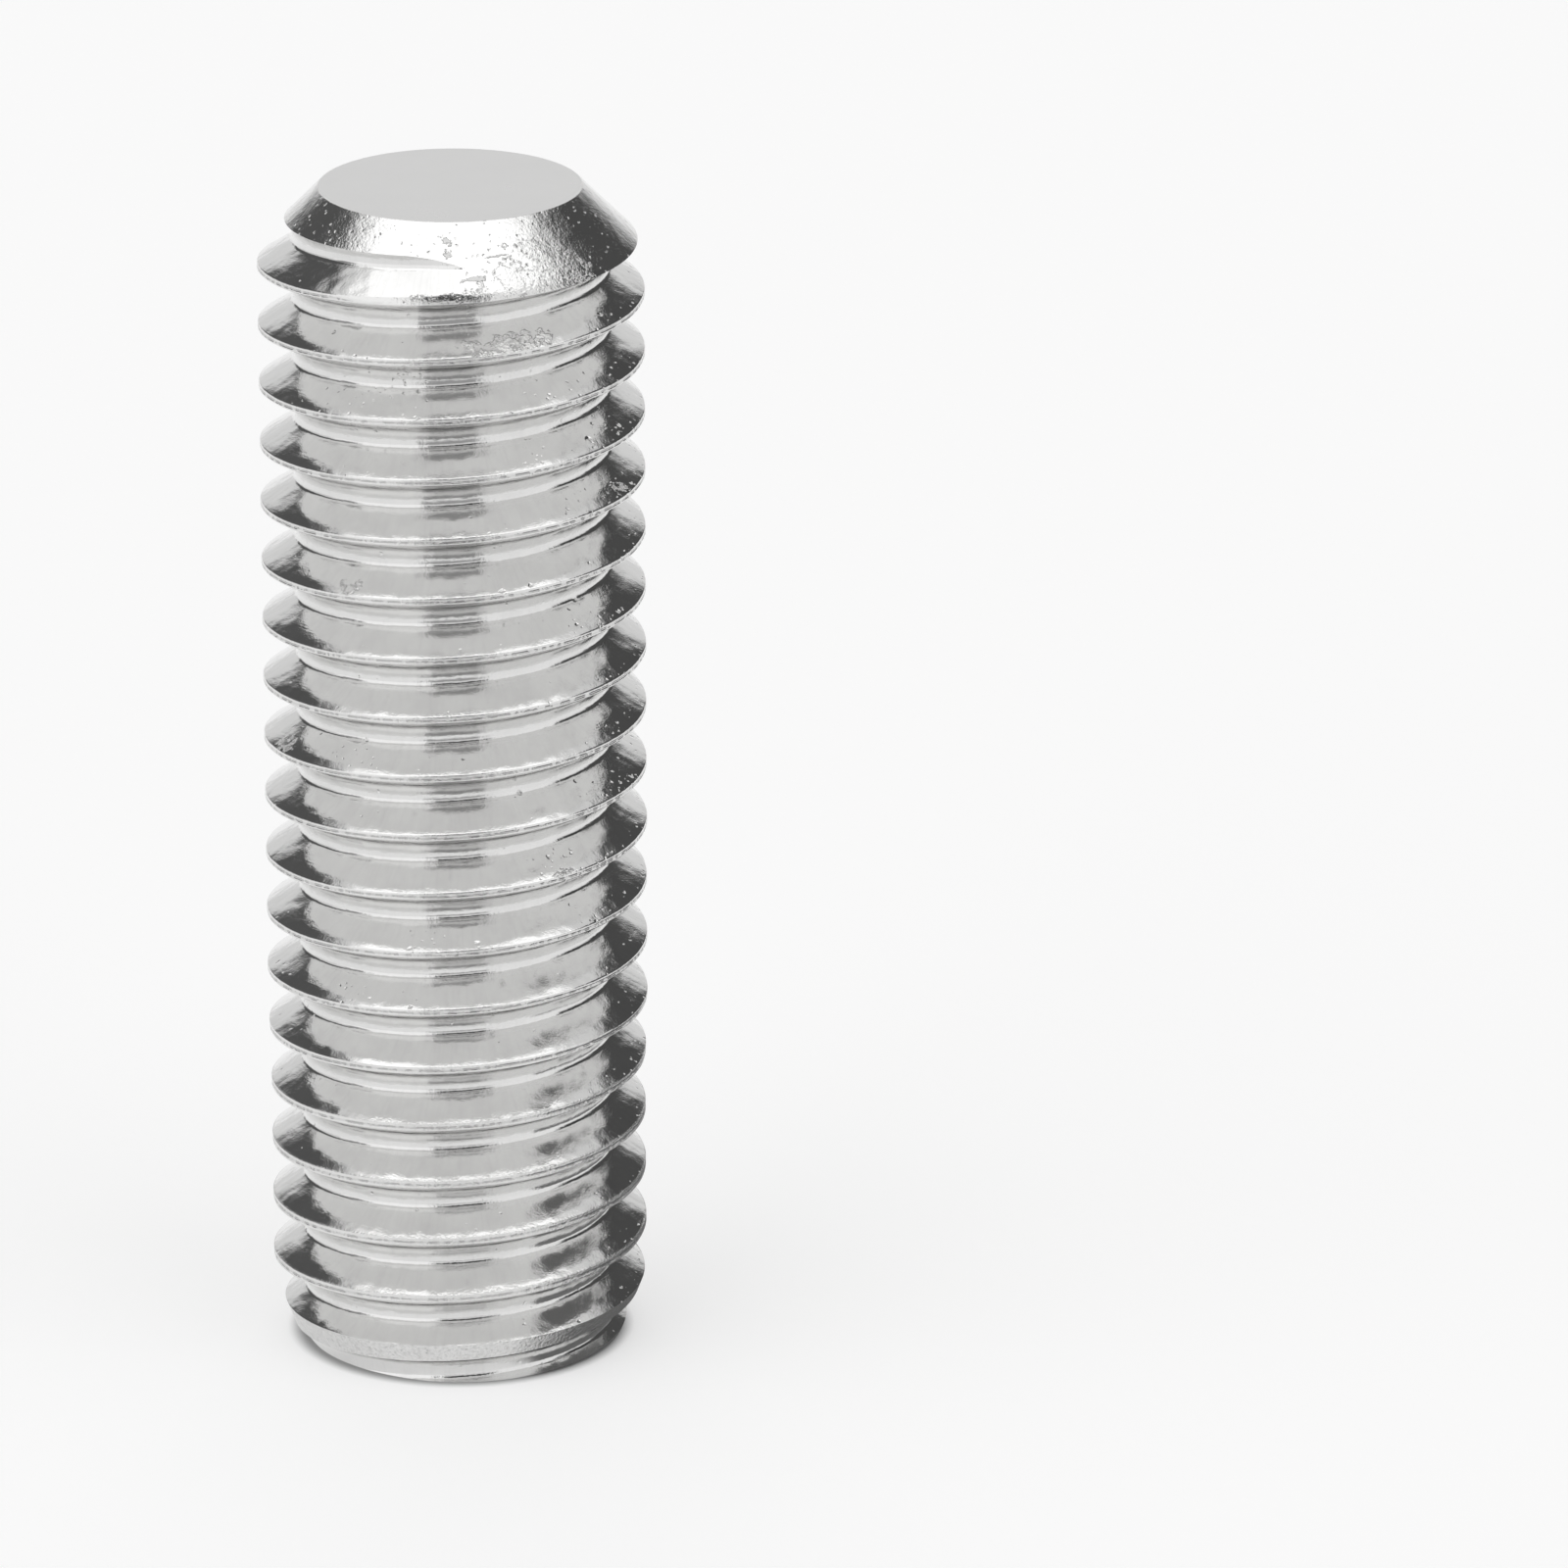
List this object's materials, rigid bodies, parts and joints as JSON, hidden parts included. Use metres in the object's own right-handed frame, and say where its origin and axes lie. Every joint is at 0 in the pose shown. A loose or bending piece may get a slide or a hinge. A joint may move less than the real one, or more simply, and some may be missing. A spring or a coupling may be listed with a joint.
{
  "type": "grub set screw",
  "caption": "Headless set screw, threaded over its whole length, with a flat chamfered point and a hexagon socket in the other end.",
  "frame": {"origin": "centre of the socket-end rim's plane, which is the bottom centre of the bounding box", "axes": "+Z along the screw's axis from the socket end to the flat point; the screw stands on its socket end; the hexagon's corners lie on +X and -X"},
  "size_m": [0.0078, 0.0078, 0.0246],
  "materials": {
    "bright_steel": "bright rolled stainless steel, satin on the flat point, with fine specks and scratches"
  },
  "bodies": {
    "root": {"grub_screw": "bright_steel"}
  },
  "joints": []
}
